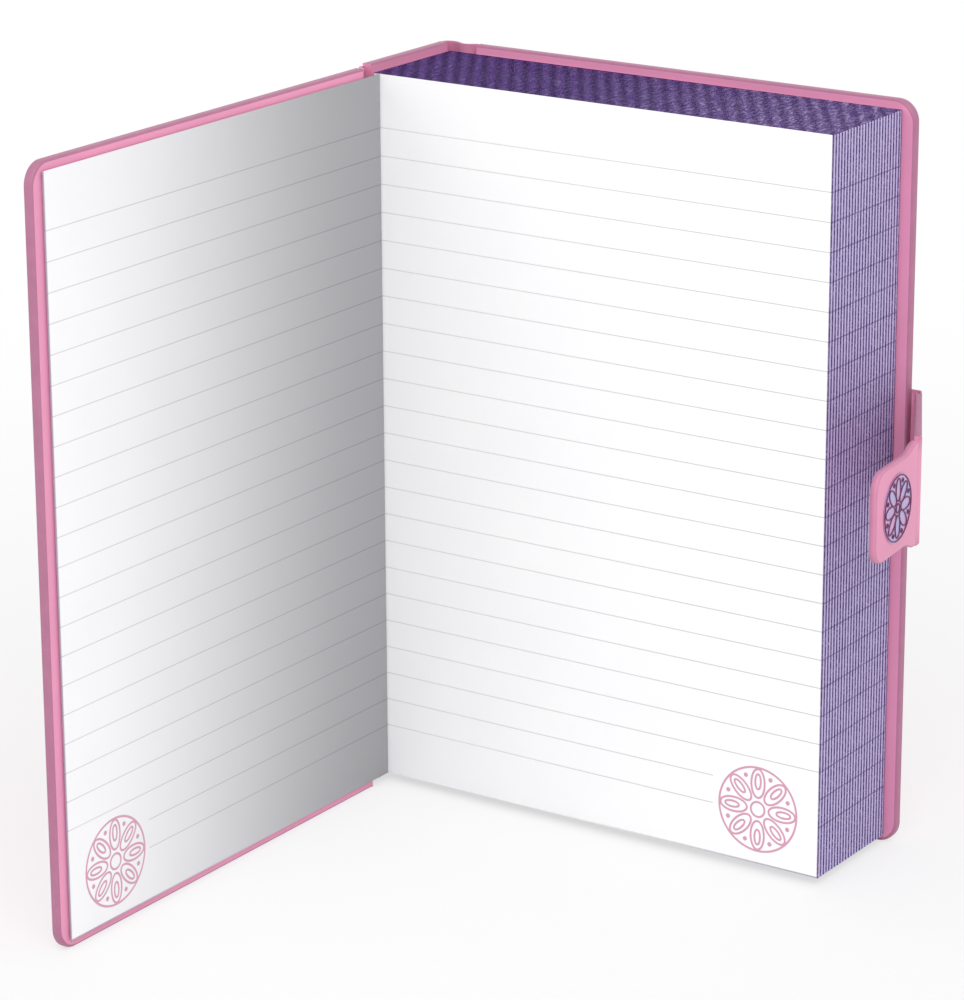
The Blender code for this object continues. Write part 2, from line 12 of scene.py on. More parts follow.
import bmesh
import bpy
import numpy as np
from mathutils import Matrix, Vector


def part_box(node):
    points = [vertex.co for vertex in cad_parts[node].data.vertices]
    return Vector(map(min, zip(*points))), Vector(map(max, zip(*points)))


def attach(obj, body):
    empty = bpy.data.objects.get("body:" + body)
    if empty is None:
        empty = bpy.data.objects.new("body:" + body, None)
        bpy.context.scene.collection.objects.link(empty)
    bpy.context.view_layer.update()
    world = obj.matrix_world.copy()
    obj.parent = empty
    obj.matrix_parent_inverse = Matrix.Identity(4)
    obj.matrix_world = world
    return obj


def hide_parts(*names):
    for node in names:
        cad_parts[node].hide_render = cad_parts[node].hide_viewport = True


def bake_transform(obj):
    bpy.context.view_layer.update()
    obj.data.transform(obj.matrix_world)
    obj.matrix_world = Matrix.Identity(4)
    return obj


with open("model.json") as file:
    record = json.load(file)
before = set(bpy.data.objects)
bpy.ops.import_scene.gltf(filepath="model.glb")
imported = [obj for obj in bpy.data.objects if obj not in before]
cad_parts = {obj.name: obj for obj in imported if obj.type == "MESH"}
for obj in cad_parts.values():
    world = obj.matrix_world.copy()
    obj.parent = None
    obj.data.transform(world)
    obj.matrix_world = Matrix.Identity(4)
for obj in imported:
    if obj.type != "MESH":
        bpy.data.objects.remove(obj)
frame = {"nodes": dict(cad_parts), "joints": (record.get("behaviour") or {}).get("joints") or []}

print("CAD nodes:", len(frame["nodes"]))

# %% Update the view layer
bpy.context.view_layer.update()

# %% [markdown]
# ## Where things are
#
# The bookbinder measures from the spine folds, the front page and the table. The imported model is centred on
# its box instead, so the binder's zero is worked out from the front cover's hinge.

# %% The binder's zero and the hinges
MM = 0.001
HINGE_INSET = 2.5 * MM
HINGE_DEPTH = -0.5 * MM
hinge = {joint["name"]: np.array(joint["pos_m"][:2]) for joint in frame["joints"]}
zero = hinge["front_cover_swing"] - np.array([HINGE_INSET, HINGE_DEPTH])
print("binder's zero in mm:", (1000 * zero).round(2))

# %% Page block
SECTIONS = 24
BLOCK = 38.0 * MM
section_pitch = BLOCK / SECTIONS
spine_x, front_y, foot_z = np.array(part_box("section_01")[0]).tolist()
fore_x, back_y, head_z = np.array(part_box("section_24")[1]).tolist()
page_width = fore_x - spine_x
page_height = head_z - foot_z
print("page in mm:", round(1000 * page_width, 1), "by", round(1000 * page_height, 1))

# %% [markdown]
# ## The camera
#
# The view is from the front right and slightly above, about a metre away. A long lens keeps the uprights
# nearly parallel, and a little shift of it sets the book in the frame.

# %% Camera
CAMERA_AZIMUTH = 33.26
CAMERA_ELEVATION = 16.82
CAMERA_DISTANCE = 1.1162
CAMERA_AIM = (57.14 * MM, 0.0, 114.45 * MM)
FOCAL_PIXELS = 3979.4
FRAME_PIXELS = 1000
SENSOR_WIDTH = 36.0
CAMERA_SHIFT = (-0.0609, -0.0608)
scene = bpy.context.scene


def stand(name, data, aim, azimuth, elevation, distance):
    """A camera or a lamp aimed at a point. Its place is given by two angles in degrees and a distance."""
    a = math.radians(azimuth)
    e = math.radians(elevation)
    away = Vector((math.sin(a) * math.cos(e), -math.cos(a) * math.cos(e), math.sin(e)))
    stood = bpy.data.objects.new(name, data)
    stood.location = Vector(aim) + away * distance
    stood.rotation_mode = "QUATERNION"
    stood.rotation_quaternion = away.to_track_quat("Z", "Y")
    scene.collection.objects.link(stood)
    return stood


aim = (zero[0] + CAMERA_AIM[0], zero[1] + CAMERA_AIM[1], CAMERA_AIM[2])
camera_data = bpy.data.cameras.new("studio_camera")
camera_data.sensor_width = SENSOR_WIDTH
camera_data.lens = SENSOR_WIDTH * FOCAL_PIXELS / FRAME_PIXELS
camera_data.shift_x, camera_data.shift_y = CAMERA_SHIFT
scene.camera = stand("studio_camera", camera_data, aim, CAMERA_AZIMUTH, CAMERA_ELEVATION, CAMERA_DISTANCE)
print("lens in mm:", round(camera_data.lens, 1))

# %% [markdown]
# ## Small tools for mixing finishes
#
# A finish is a tree of nodes. Here a node's output is wrapped as a signal, so that a recipe reads like
# ordinary arithmetic: each sign in a formula adds one node. A few more helpers step, mix and place patterns.


# %% Colours and signals
def srgb(red, green, blue):
    """A colour as an image editor writes it, 0 to 255, in the linear values that a shader reads."""
    values = np.array([red, green, blue]) / 255
    linear = np.where(values <= 0.04045, values / 12.92, ((values + 0.055) / 1.055) ** 2.4)
    return (*linear.tolist(), 1.0)


class Signal:
    """A node's output that can stand in a formula. Each sign beside it makes one node."""

    def __init__(self, socket):
        self.socket = socket
        self.tree = socket.id_data

    def __add__(self, other):
        return calc("ADD", self, other)

    def __sub__(self, other):
        return calc("SUBTRACT", self, other)

    def __rsub__(self, other):
        return calc("SUBTRACT", other, self)

    def __mul__(self, other):
        return calc("MULTIPLY", self, other)

    def __truediv__(self, other):
        return calc("DIVIDE", self, other)

    def __gt__(self, other):
        return calc("GREATER_THAN", self, other)

    def __lt__(self, other):
        return calc("LESS_THAN", self, other)

    def __abs__(self):
        return calc("ABSOLUTE", self)


def feed(source, socket):
    """Links a signal to a socket, or sets the socket to a plain value."""
    if isinstance(source, Signal):
        source.tree.links.new(source.socket, socket)
    else:
        socket.default_value = source


def add_node(kind, *sources):
    """A new node in the tree of the first signal among the sources."""
    tree = next(source.tree for source in sources if isinstance(source, Signal))
    return tree.nodes.new("ShaderNode" + kind)


def calc(operation, *terms):
    """One step of arithmetic on signals or numbers."""
    node = add_node("Math", *terms)
    node.operation = operation
    for term, socket in zip(terms, node.inputs):
        feed(term, socket)
    return Signal(node.outputs[0])


print("middle grey as a shader reads it:", round(srgb(128, 128, 128)[0], 3))


# %% Steps, mixtures and patterns
def step(value, low, high):
    """0 below low, 1 above high and a smooth rise between."""
    node = add_node("MapRange", value)
    node.interpolation_type = "SMOOTHSTEP"
    feed(value, node.inputs["Value"])
    feed(low, node.inputs["From Min"])
    feed(high, node.inputs["From Max"])
    return Signal(node.outputs["Result"])


def mix(share, first, second, way="MIX"):
    """The first colour where share is 0, the second where it is 1."""
    node = add_node("Mix", share, first, second)
    node.data_type = "RGBA"
    node.blend_type = way
    feed(share, node.inputs[0])
    feed(first, node.inputs[6])
    feed(second, node.inputs[7])
    return Signal(node.outputs[2])


def noise(place, scale, detail=3.0, roughness=0.55):
    """Cloudy noise from 0 to 1, scale being features per metre."""
    node = add_node("TexNoise", place)
    feed(place, node.inputs["Vector"])
    feed(scale, node.inputs["Scale"])
    node.inputs["Detail"].default_value = detail
    node.inputs["Roughness"].default_value = roughness
    return Signal(node.outputs["Fac"])


def scatter(place, scale):
    """Cells round scattered points: the distance from a cell's own point, and its own colour."""
    node = add_node("TexVoronoi", place)
    feed(place, node.inputs["Vector"])
    feed(scale, node.inputs["Scale"])
    return Signal(node.outputs["Distance"]), Signal(node.outputs["Color"])


def split(place):
    """The x, y and z of a place, as three signals."""
    node = add_node("SeparateXYZ", place)
    feed(place, node.inputs[0])
    return [Signal(socket) for socket in node.outputs]


def stretch(place, *scale):
    """A place with its x, y and z each multiplied."""
    node = add_node("VectorMath", place)
    node.operation = "MULTIPLY"
    feed(place, node.inputs[0])
    node.inputs[1].default_value = scale
    return Signal(node.outputs[0])


# %% Materials and node groups
def attribute(material, name):
    """The outputs of a node that reads what a mesh stores under a name."""
    node = material.node_tree.nodes.new("ShaderNodeAttribute")
    node.attribute_name = name
    return node.outputs


def new_finish(name, stored=None, **constants):
    """A material, its shader and the place that its patterns read: the object's own, or one stored on the
    mesh. Constants go straight on the shader."""
    material = bpy.data.materials.new(name)
    material.use_nodes = True
    nodes = material.node_tree.nodes
    shader = nodes["Principled BSDF"]
    for key, value in constants.items():
        shader.inputs[key.replace("_", " ")].default_value = value
    if stored is None:
        place = nodes.new("ShaderNodeTexCoord").outputs["Object"]
    else:
        place = attribute(material, stored)["Vector"]
    return material, shader, Signal(place)


def surface(shader, colour, rough, height, depth, strength=1.0):
    """Gives a shader its colour, its roughness and a relief. A height from 0 to 1 stands for depth."""
    feed(colour, shader.inputs["Base Color"])
    feed(rough, shader.inputs["Roughness"])
    node = add_node("Bump", height)
    node.inputs["Strength"].default_value = strength
    node.inputs["Distance"].default_value = depth
    feed(height, node.inputs["Height"])
    feed(Signal(node.outputs["Normal"]), shader.inputs["Normal"])


def signals(sockets):
    """Signals by the names of their sockets."""
    return {socket.name: Signal(socket) for socket in sockets}


def new_group(name, inputs, outputs):
    """An empty node group, by the values of its inputs, None for a place. Gives its signals and results."""
    tree = bpy.data.node_groups.new(name, "ShaderNodeTree")
    for title, value in inputs.items():
        kind = "NodeSocketVector" if value is None else "NodeSocketFloat"
        socket = tree.interface.new_socket(title, in_out="INPUT", socket_type=kind)
        if value is not None:
            socket.default_value = value
    for title in outputs:
        tree.interface.new_socket(title, in_out="OUTPUT", socket_type="NodeSocketFloat")
    return signals(tree.nodes.new("NodeGroupInput").outputs), tree.nodes.new("NodeGroupOutput").inputs


def use_group(name, **values):
    """Places a node group and feeds its inputs by name."""
    node = add_node("Group", *values.values())
    node.node_tree = bpy.data.node_groups[name]
    for key, value in values.items():
        feed(value, node.inputs[key])
    return signals(node.outputs)


print("helpers ready")

# %% [markdown]
# ## Studio light
#
# A product shot is lit by a white room, one large soft lamp near the camera and a weaker one on the left,
# so that colours come out about as they are written. The white background is what the camera sees of the
# room, not more light on the book.

# %% View settings and room
ROOM_LIGHT = 0.70
scene.view_settings.view_transform = "Standard"
room = bpy.data.worlds.new("white_room")
room.use_nodes = True
scene.world = room
backdrop = room.node_tree.nodes["Background"]
backdrop.inputs["Color"].default_value = (1.0, 1.0, 1.0, 1.0)
rays = signals(room.node_tree.nodes.new("ShaderNodeLightPath").outputs)
seen = calc("MAXIMUM", rays["Is Camera Ray"], rays["Is Glossy Ray"])
feed(seen * (1.0 - ROOM_LIGHT) + ROOM_LIGHT, backdrop.inputs["Strength"])
print("room light:", ROOM_LIGHT)


# %% Lamps
LAMP_AIM = (0.0, 0.0, 0.1)


def soft_lamp(name, azimuth, elevation, distance, size, watts):
    """A square area lamp aimed at the book."""
    data = bpy.data.lights.new(name, "AREA")
    data.size = size
    data.energy = watts
    stand(name, data, LAMP_AIM, azimuth, elevation, distance)
    print(name, watts, "W")


soft_lamp("key_lamp", 40, 46, 1.6, 1.1, 11.6)
soft_lamp("left_lamp", -35, 25, 1.8, 1.2, 3.2)

# %% [markdown]
# ## Effects that several finishes share
#
# Grain, ruling, the printed rosette and glitter each appear on more than one piece. Each is built once, as
# a node group with named inputs, and every finish gives it its own values.

# %% Fine grain
given, result = new_group("fine_grain", {"Place": None, "Scale": 2500.0}, ["Height", "Tone"])
pebble, _ = scatter(given["Place"], given["Scale"])
cloudy = noise(given["Place"], given["Scale"] * 0.7, 4.0)
feed(pebble * 0.5 + cloudy * 0.5, result["Height"])
feed(noise(given["Place"], given["Scale"] * 0.012), result["Tone"])
print("fine_grain:", len(pebble.tree.nodes), "nodes")

# %% Ruled lines
RULE_COUNT = 23
SHORT_RULES = 2
RULE_PITCH = 8.16 * MM
RULE_FIRST = 15.4 * MM
sizes = {"Across": 0.0, "Down": 0.0, "Width": 0.3 * MM, "Stop": 1.0}
given, result = new_group("ruled_lines", sizes, ["Line"])
turns = (given["Down"] - RULE_FIRST) / RULE_PITCH
nearest = calc("ROUND", turns)
off = abs(turns - nearest) * RULE_PITCH
half_width = given["Width"] * 0.5
drawn = 1.0 - step(off, half_width * 0.6, half_width)
counted = drawn * (nearest > -0.5) * (nearest < RULE_COUNT - 0.5)
cut_short = (nearest > RULE_COUNT - SHORT_RULES - 0.5) * (given["Across"] > given["Stop"])
feed(counted * (1.0 - cut_short), result["Line"])
last_rule = RULE_FIRST + (RULE_COUNT - 1) * RULE_PITCH
print("last line above the foot in mm:", round(1000 * (page_height - last_rule), 1))

# %% [markdown]
# ### The printed rosette
#
# A rosette with eight petals is near the page's outer lower corner. It is drawn with polar coordinates: the
# angle is folded so that all petals are one, and the pen follows the places where a simple formula is zero.
# Every measure is a share of the rosette's radius.

# %% Rosette in line
PETALS = 8
PRINT_PETALS = [(0.60, 0.33, 0.165), (0.64, 0.17, 0.068)]
PRINT_RINGS = [0.17, 0.96]
PRINT_RADIUS = 12.9 * MM
PRINT_PEN = 0.050
BEADS_AT = 0.80
BEAD_SIZE = 0.06
sector = 2 * math.pi / PETALS


def length_of(first, second):
    """The length of a flat arrow: the root of the sum of its two squares."""
    return calc("SQRT", first * first + second * second)


def ellipse(along, aside, centre, length, width):
    """About the distance from an ellipse's line: q times (q - 1) over g, where q is the reach in units of
    the ellipse's own radii, and g that reach divided by those radii once more."""
    first = (along - centre) / length
    second = aside / width
    own_reach = length_of(first, second)
    return own_reach * (own_reach - 1.0) / length_of(first / length, second / width)


sizes = {"Across": 0.0, "Up": 0.0, "Radius": PRINT_RADIUS, "Pen": PRINT_PEN}
given, result = new_group("rosette_line", sizes, ["Line"])
right = given["Across"] / given["Radius"]
up = given["Up"] / given["Radius"]
reach = length_of(right, up)
angle = calc("ARCTAN2", up, right)
folded = abs(angle - calc("ROUND", angle / sector) * sector)
along = reach * calc("COSINE", folded)
aside = reach * calc("SINE", folded)
from_bead = length_of(along - BEADS_AT * math.cos(sector / 2), aside - BEADS_AT * math.sin(sector / 2))
line = 1.0 - step(from_bead, 0.75 * BEAD_SIZE, BEAD_SIZE)
outlines = [ellipse(along, aside, *petal) for petal in PRINT_PETALS]
for distance in outlines + [reach - ring for ring in PRINT_RINGS]:
    stroke = 1.0 - step(abs(distance), given["Pen"] * 0.4, given["Pen"] * 0.6)
    line = calc("MAXIMUM", line, stroke)
feed(line, result["Line"])
print("rosette_line:", len(reach.tree.nodes), "nodes")

# %% Glitter
given, result = new_group("glitter", {"Place": None, "Scale": 3500.0, "Amount": 0.2}, ["Spark", "Haze"])
_, flake = scatter(given["Place"], given["Scale"])
flake_tone = split(flake)[0]
feed(step(flake_tone, 1.0 - given["Amount"], 1.0), result["Spark"])
feed(noise(given["Place"], given["Scale"] * 0.5, 2.0), result["Haze"])
print("glitter:", len(flake.tree.nodes), "nodes")

# %% [markdown]
# ## Paper
#
# The pages are smooth white writing paper with pale ruling. The three trimmed edges of the block are tinted
# violet and sprinkled with glitter. On the fore-edge each section is a light stripe between two dark gaps,
# and the ruling, which bleeds off the page, ends in thin dark marks. Next to the back cover the last stripe
# is darkened, a painted contact shadow. Along its foot and its outer edge the page carries a thin painted
# shadow in violet grey, stronger towards the outer edge.

# %% Ruled and printed page
PRINT_FROM_EDGE = 19.5 * MM
PRINT_ABOVE_FOOT = 16.2 * MM
PRINT_CLEARANCE = 14.5 * MM
PRINT_PINK = srgb(210, 148, 174)
PRINT_STRENGTH = 0.92
EDGE_SHADOW_WIDTH = 0.6 * MM
EDGE_SHADOW_STRENGTH = 0.7
EDGE_SHADOW_TINT = srgb(122, 92, 128)


def printed_page(paper, across, up, width, rule_colour, rule_width):
    """Paper with its ruling, its rosette and a thin painted shadow along its foot and outer edge: across is
    from the fold and up from the foot.
    """
    centre = width - PRINT_FROM_EDGE
    down = page_height - up
    stop = centre - PRINT_CLEARANCE
    rule = use_group("ruled_lines", Across=across, Down=down, Width=rule_width, Stop=stop)["Line"]
    rosette = use_group("rosette_line", Across=across - centre, Up=up - PRINT_ABOVE_FOOT)["Line"]
    ruled = mix(rule, paper, rule_colour, "MULTIPLY")
    printed = mix(rosette * PRINT_STRENGTH, ruled, PRINT_PINK)
    # Painted shadow: a thin violet-grey line along the foot and the outer edge, fading out towards the fold.
    from_trim = calc("MINIMUM", width - across, up)
    painted_edge_shadow = (1.0 - step(from_trim, 0.3 * EDGE_SHADOW_WIDTH, EDGE_SHADOW_WIDTH)) * step(across, 0.3 * width, width)
    return mix(painted_edge_shadow * EDGE_SHADOW_STRENGTH, printed, EDGE_SHADOW_TINT)


print("rosette across in mm:", 2000 * PRINT_RADIUS)

# %% Front page of the block
page_edge, shader, place = new_finish("violet_edged_pages", Specular_IOR_Level=0.02)
x, y, z = split(place)
across = x - spine_x
up = z - foot_z
grain = use_group("fine_grain", Place=place, Scale=3500.0)
paper = mix(grain["Tone"], srgb(255, 255, 255), srgb(250, 250, 252))
ink = mix(step(across, 0.0, page_width), srgb(228, 228, 226), srgb(206, 206, 204))
front_page = printed_page(paper, across, up, page_width, ink, 0.38 * MM)
print("page width in mm:", round(1000 * page_width, 1))

# %% Fore-edge: a light stripe for each section
GAP_VIOLET = srgb(80, 61, 119)
STRIPE_LILAC = srgb(200, 187, 229)
SPARK_LILAC = srgb(232, 224, 248)
RULE_END = srgb(70, 52, 100)
CONTACT_SHADE_FROM = 0.9 * MM
CONTACT_SHADE_TO = 0.5 * MM
stripe = 1.0 - abs(calc("FRACT", (y - front_y) / section_pitch) * 2.0 - 1.0)
sparkle = use_group("glitter", Place=place, Scale=4200.0, Amount=0.34)["Spark"]
streak = noise(stretch(place, 1.0, 1.0, 0.06), 1500.0, 2.0)
# Painted contact shadow: the last stripes before the back cover turn to the dark gap colour.
painted_contact_shade = step(y, back_y - CONTACT_SHADE_FROM, back_y - CONTACT_SHADE_TO)
light_share = step(streak * 0.30 + stripe, 0.45, 0.82) * (1.0 - painted_contact_shade)
fore_edge = mix(light_share, GAP_VIOLET, STRIPE_LILAC)
fore_edge = mix(sparkle * 0.45, fore_edge, SPARK_LILAC)
rule_ends = use_group("ruled_lines", Down=page_height - up, Width=0.5 * MM)["Line"]
fore_edge = mix(rule_ends * 0.55, fore_edge, RULE_END)
print("section pitch in mm:", round(1000 * section_pitch, 3))

# %% Head and foot: slanting waves of glitter
WAVE_PITCH = 4.6 * MM
WAVE_SLANT = 0.65
WAVE_WANDER = 1.2
HEAD_SPARK = srgb(184, 170, 208)
wander = noise(stretch(place, 1.0, 0.3, 1.0), 90.0, 2.0)
wave_place = (y * WAVE_SLANT + x) * (2 * math.pi / WAVE_PITCH) + wander * WAVE_WANDER
wave = calc("SINE", wave_place) * 0.5 + 0.5
# The waves and glitter are the edge's own. Over them lies painted shade: the head's violet is darker than the
# fore-edge's, and darker still, with fewer sparks, towards the spine.
outwards = step(x, spine_x, fore_x)
out_of_spine_shade = outwards * outwards
trough = mix(out_of_spine_shade, srgb(52, 24, 86), srgb(72, 50, 108))
crest = mix(out_of_spine_shade, srgb(78, 48, 118), srgb(100, 78, 138))
fine_place = stretch(place, 1.0, 0.35, 1.0)
fine_sparkle = use_group("glitter", Place=fine_place, Scale=2300.0, Amount=0.42)["Spark"]
head_share = (wave * 0.55 + 0.25) * (out_of_spine_shade * 0.80 + 0.20)
head_edge = mix(fine_sparkle * head_share, mix(wave, trough, crest), HEAD_SPARK)
print("waves on the head:", round((page_width + WAVE_SLANT * BLOCK) / WAVE_PITCH))

# %% Sections: white page, violet edges
EDGE_BAND = 0.45 * MM
FACE_BAND = 0.02 * MM
HEAD_BAND = 0.01 * MM
on_fore_edge = x > fore_x - EDGE_BAND
on_head = abs(z - (foot_z + page_height / 2)) > page_height / 2 - HEAD_BAND
on_edge = calc("MAXIMUM", on_fore_edge, on_head)
bare = calc("MAXIMUM", y < front_y + FACE_BAND, 1.0 - on_edge)
page_colour = mix(bare, mix(on_head, fore_edge, head_edge), front_page)
page_rough = 0.72 - sparkle * on_edge * 0.38
leaf_lines = noise(stretch(place, 1.0, 1.0, 0.02), 9000.0, 2.0)
relief = leaf_lines * (1.0 - bare) + grain["Height"] * 0.25
surface(shader, page_colour, page_rough, relief, 0.05 * MM)
for number in range(1, SECTIONS + 1):
    frame["nodes"][f"section_{number:02d}"].data.materials[0] = page_edge
print("sections with the page finish:", SECTIONS)

# %% [markdown]
# ## The skin
#
# Covers, spine and clasp are wrapped in one pink coated material with a satin face. Its folded-over edges
# carry painted shade, a duller mauve broken up by noise. On the joints the pattern is read from where the
# surface was at rest, so it doesn't slide when they bend.

# %% Pink skin
SKIN_FACE = srgb(236, 153, 188)
SKIN_RIM = srgb(172, 109, 139)
SCUFF_PINK = srgb(244, 196, 216)


def pink_skin(name, face, stored=None):
    """The coated cover material: a fine pebble, a slow drift of tone, and painted shade on the folded edges.
    """
    material, shader, place = new_finish(name, stored, Specular_IOR_Level=0.45, Sheen_Weight=0.05)
    grain = use_group("fine_grain", Place=place, Scale=2600.0)
    base = mix(0.10, face, mix(step(grain["Tone"], 0.3, 0.7), face, SKIN_RIM))
    # Painted shade: where the mesh stores edge, the skin turns to the mauve rim colour. One noise varies this
    # shade and also places the scuffs, which are wear.
    rub_and_shade_noise = noise(place, 260.0, 4.0)
    painted_fold_shade = Signal(attribute(material, "edge")["Fac"]) * (rub_and_shade_noise * 0.3 + 0.78)
    base = mix(calc("MINIMUM", painted_fold_shade, 1.0), base, SKIN_RIM)
    hair = noise(stretch(place, 1.0, 0.6, 0.05), 900.0, 2.0)
    scuff = step(hair, 0.66, 0.74) * step(rub_and_shade_noise, 0.45, 0.65)
    base = mix(scuff * 0.18, base, SCUFF_PINK)
    rough = scuff * 0.12 + (grain["Tone"] * 0.12 + 0.40)
    surface(shader, base, rough, grain["Height"], 0.03 * MM, 0.8)
    return material


skin = pink_skin("pink_skin", SKIN_FACE)
bent_skin = pink_skin("pink_skin_at_folds", SKIN_FACE, "rest")
clasp_lining = pink_skin("clasp_lining_pink", srgb(218, 146, 178))
print("skin finishes:", skin.name, bent_skin.name, clasp_lining.name)

# %% [markdown]
# ## Surfaces from grids
#
# Every new piece is worked out as whole arrays. A grid of points has one row for each step along the piece
# and one column for each step across its profile. Two such grids and strips that join their borders make a
# sheet with a real thickness.


# %% A sheet from two grids
MERGE_DISTANCE = 1e-6
SHARP_ANGLE = math.radians(35)


def pairs(first, second):
    """Two columns side by side. A plain number fills its column."""
    return np.stack(np.broadcast_arrays(first, second), axis=-1)


def cells(index):
    """The four corners of every cell of a grid of vertex numbers."""
    corners = [index[:-1, :-1], index[1:, :-1], index[1:, 1:], index[:-1, 1:]]
    return np.stack(corners, axis=-1).reshape(-1, 4)


def thick_sheet(name, outer, inner, materials, edge=None, sheet=None, open_start=False):
    """A closed body between two grids of points: outer cells, inner cells turned round, and strips along
    the borders. open_start leaves out the strip at the first column, where two halves of a face meet."""
    rows, columns = outer.shape[:2]
    count = rows * columns
    top = np.arange(count).reshape(rows, columns)
    under = top + count
    borders = [
        np.stack([top[:, -1], under[:, -1]]),
        np.stack([under[0], top[0]]),
        np.stack([top[-1], under[-1]]),
    ]
    if not open_start:
        borders.append(np.stack([under[:, 0], top[:, 0]]))
    strips = np.concatenate([cells(border) for border in borders])
    quads = cells(top)
    faces = np.concatenate([quads, cells(under)[:, ::-1], strips])
    slots = np.repeat([0, 1, 2], [len(quads), len(quads), len(strips)])
    points = np.concatenate([outer.reshape(-1, 3), inner.reshape(-1, 3)])
    mesh = bpy.data.meshes.new(name)
    mesh.from_pydata(points.tolist(), [], faces.tolist())
    mesh.polygons.foreach_set("material_index", slots.astype(np.int32))
    mesh.attributes.new("rest", "FLOAT_VECTOR", "POINT").data.foreach_set("vector", points.ravel())
    if edge is not None:
        values = np.broadcast_to(edge, (2, rows, columns)).ravel()
        mesh.attributes.new("edge", "FLOAT", "POINT").data.foreach_set("value", values)
    if sheet is not None:
        values = np.broadcast_to(sheet, (2, rows, columns, 3)).ravel()
        mesh.attributes.new("sheet", "FLOAT_VECTOR", "POINT").data.foreach_set("vector", values)
    return close_mesh(name, mesh, materials)


def close_mesh(name, mesh, materials):
    """Merges the doubled vertices, turns the faces outwards, rounds the shading and links the object."""
    bm = bmesh.new()
    bm.from_mesh(mesh)
    bmesh.ops.remove_doubles(bm, verts=bm.verts, dist=MERGE_DISTANCE)
    bmesh.ops.recalc_face_normals(bm, faces=bm.faces)
    bm.to_mesh(mesh)
    bm.free()
    for material in materials:
        mesh.materials.append(material)
    mesh.shade_smooth()
    mesh.set_sharp_from_angle(angle=SHARP_ANGLE)
    piece = bpy.data.objects.new(name, mesh)
    scene.collection.objects.link(piece)
    print(name, len(mesh.polygons), "faces")
    return piece


# %% [markdown]
# ## A wrapped panel
#
# The binder glues the skin to the board's outside, folds it round the edges and glues a margin down inside.
# Seen across an edge that is one profile: in along the outer face, round the fold, over the thickness,
# round again, and back along the inside. Carried along the panel's outline it gives the whole skin.


# %% Profile of a wrapped edge
SKIN = 0.4 * MM
LEAST_RADIUS = 0.02 * MM


def wrapped_profile(half, face, back, margin, face_radius, back_radius, steps=6):
    """Outer and inner profile as (distance in from the edge, depth). Each bend is a quarter circle; the
    inner profile uses the same centres with a radius that is smaller by the skin's thickness."""
    turn = np.linspace(0.0, math.pi / 2, steps)
    both = []
    for shrink in (0.0, SKIN):
        r1 = max(face_radius - shrink, LEAST_RADIUS)
        r2 = max(back_radius - shrink, LEAST_RADIUS)
        first = pairs(shrink + r1 * (1 - np.sin(turn)), face - shrink - r1 * (1 - np.cos(turn)))
        second = pairs(shrink + r2 * (1 - np.cos(turn)), back + shrink + r2 * (1 - np.sin(turn)))
        start = np.array([[half, face - shrink]])
        end = np.array([[max(margin, shrink + r2), back + shrink]])
        both.append(np.concatenate([start, first, second, end]))
    return both


def laid(panel, along, depth, height):
    """World points of a panel's own (along, depth, height): the hinge, plus along it, plus outwards."""
    plan = panel["hinge"] + np.multiply.outer(along, panel["along"])
    plan = plan + np.multiply.outer(depth, panel["out"])
    return np.concatenate([plan, np.broadcast_to(height, plan.shape[:-1])[..., None]], axis=-1)


def wrapped_grids(panel, outline, middle, half, profiles):
    """Both faces of a panel's skin. Each outline point moves towards its middle point by profile distance
    over half, at the profile's depth."""
    grids = []
    for profile in profiles:
        share = profile[:, :1] / half
        moved = outline[:, None] + (middle - outline)[:, None] * share
        depth = np.broadcast_to(profile[:, 1], moved.shape[:2])
        grids.append(laid(panel, moved[..., 0], depth, moved[..., 1]))
    return grids


def panel_at(joint, turn, side):
    """A panel that starts at a hinge and runs at an angle in degrees. side says which way is outwards."""
    a = math.radians(turn)
    return {
        "hinge": hinge[joint],
        "along": np.array([math.cos(a), math.sin(a)]),
        "out": np.array([-side * math.sin(a), side * math.cos(a)]),
    }


# %% Cover outline
COVER_START = 6.5 * MM
COVER_END = 149.0 * MM
COVER_CORNER = 6.0 * MM
BOOK_HEIGHT = 215.0 * MM
SKIN_BACK = 0.7 * MM
SKIN_FRONT = 3.7 * MM
TURN_IN = 15.0 * MM


def quarter(centre_x, centre_z, radius, start, end, steps=12):
    """Points on an arc between two angles in degrees."""
    angle = np.radians(np.linspace(start, end, steps))
    return pairs(centre_x + radius * np.cos(angle), centre_z + radius * np.sin(angle))


def rounded_u(start, end, low, high, radius):
    """An outline that leaves the hinge along the foot, rounds two corners and comes back along the head."""
    foot = pairs(np.linspace(start, end - radius, 14)[:-1], low)
    lower = quarter(end - radius, low + radius, radius, -90, 0)
    side = pairs(end, np.linspace(low + radius, high - radius, 16)[1:-1])
    upper = quarter(end - radius, high - radius, radius, 0, 90)
    head = foot[::-1] * (1, 0) + (0, high)
    return np.concatenate([foot, lower, side, upper, head])


cover_outline = rounded_u(COVER_START, COVER_END, 0.0, BOOK_HEIGHT, COVER_CORNER)
half_height = BOOK_HEIGHT / 2
cover_middle = pairs(np.minimum(cover_outline[:, 0], COVER_END - half_height), half_height)
print("cover outline points:", len(cover_outline))


# %% Cover skins
FOLD_RADIUS = 0.75 * MM
EDGE_BLUR = 0.2


def edge_share(profile, radius):
    """The share of painted shade: 1 on the folded edge, 0 on the faces, by how far in from the edge
    the profile is.
    """
    return np.clip((radius - profile[:, 0]) / (EDGE_BLUR * radius), 0.0, 1.0)


